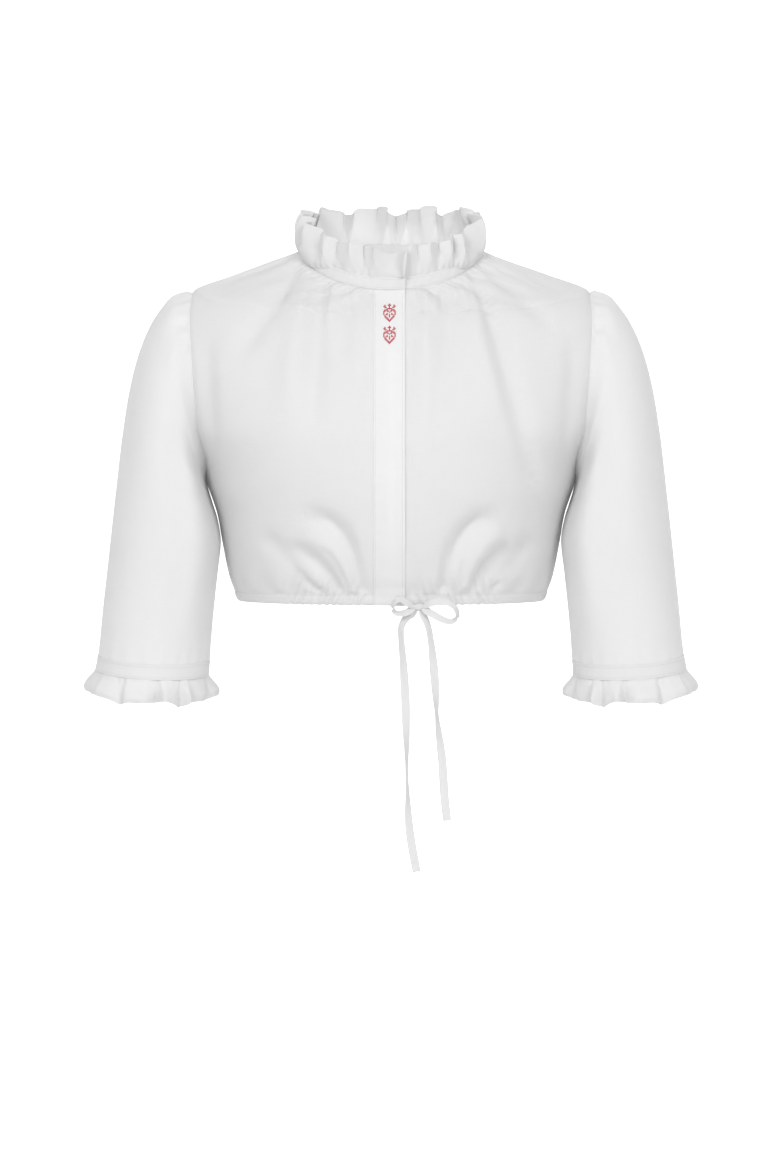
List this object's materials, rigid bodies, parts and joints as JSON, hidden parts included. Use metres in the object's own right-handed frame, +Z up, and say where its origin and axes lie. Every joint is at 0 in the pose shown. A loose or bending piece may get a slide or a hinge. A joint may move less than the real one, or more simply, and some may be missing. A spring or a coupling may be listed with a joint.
{
  "type": "dirndl blouse",
  "caption": "Cropped white dirndl blouse, worn and hollow, with gathered neck and cuff ruffles, set-in elbow sleeves, a front placket and a drawstring hem tied in a bow.",
  "frame": {"origin": "middle of the neck's base, where the shoulders and neck of a wearer hold the blouse", "axes": "+X towards the wearer's left, +Y towards the back, +Z up"},
  "size_m": [0.5736, 0.2467, 0.6112],
  "materials": {
    "cotton": "fine plain-woven white cotton, matt with a faint sheen",
    "ruffle_cotton": "the same cotton in a single thin layer",
    "tape": "narrow folded cotton tape, matt",
    "sewing_thread": "white cotton sewing thread",
    "embroidery_thread": "stranded red embroidery cotton with a soft sheen"
  },
  "bodies": {
    "root": {"front_right": "cotton", "front_left": "cotton", "back": "cotton", "placket": "cotton", "neckband": "cotton", "sleeve_right": "cotton", "sleeve_left": "cotton", "cuff_band_right": "cotton", "cuff_band_left": "cotton", "casing_right": "cotton", "casing_left": "cotton", "casing_back": "cotton", "neck_ruffle": "ruffle_cotton", "cuff_ruffle_right": "ruffle_cotton", "cuff_ruffle_left": "ruffle_cotton", "tie_knot": "tape", "tie_loop_right": "tape", "tie_loop_left": "tape", "tie_end_right": "tape", "tie_end_left": "tape"}
  },
  "joints": []
}
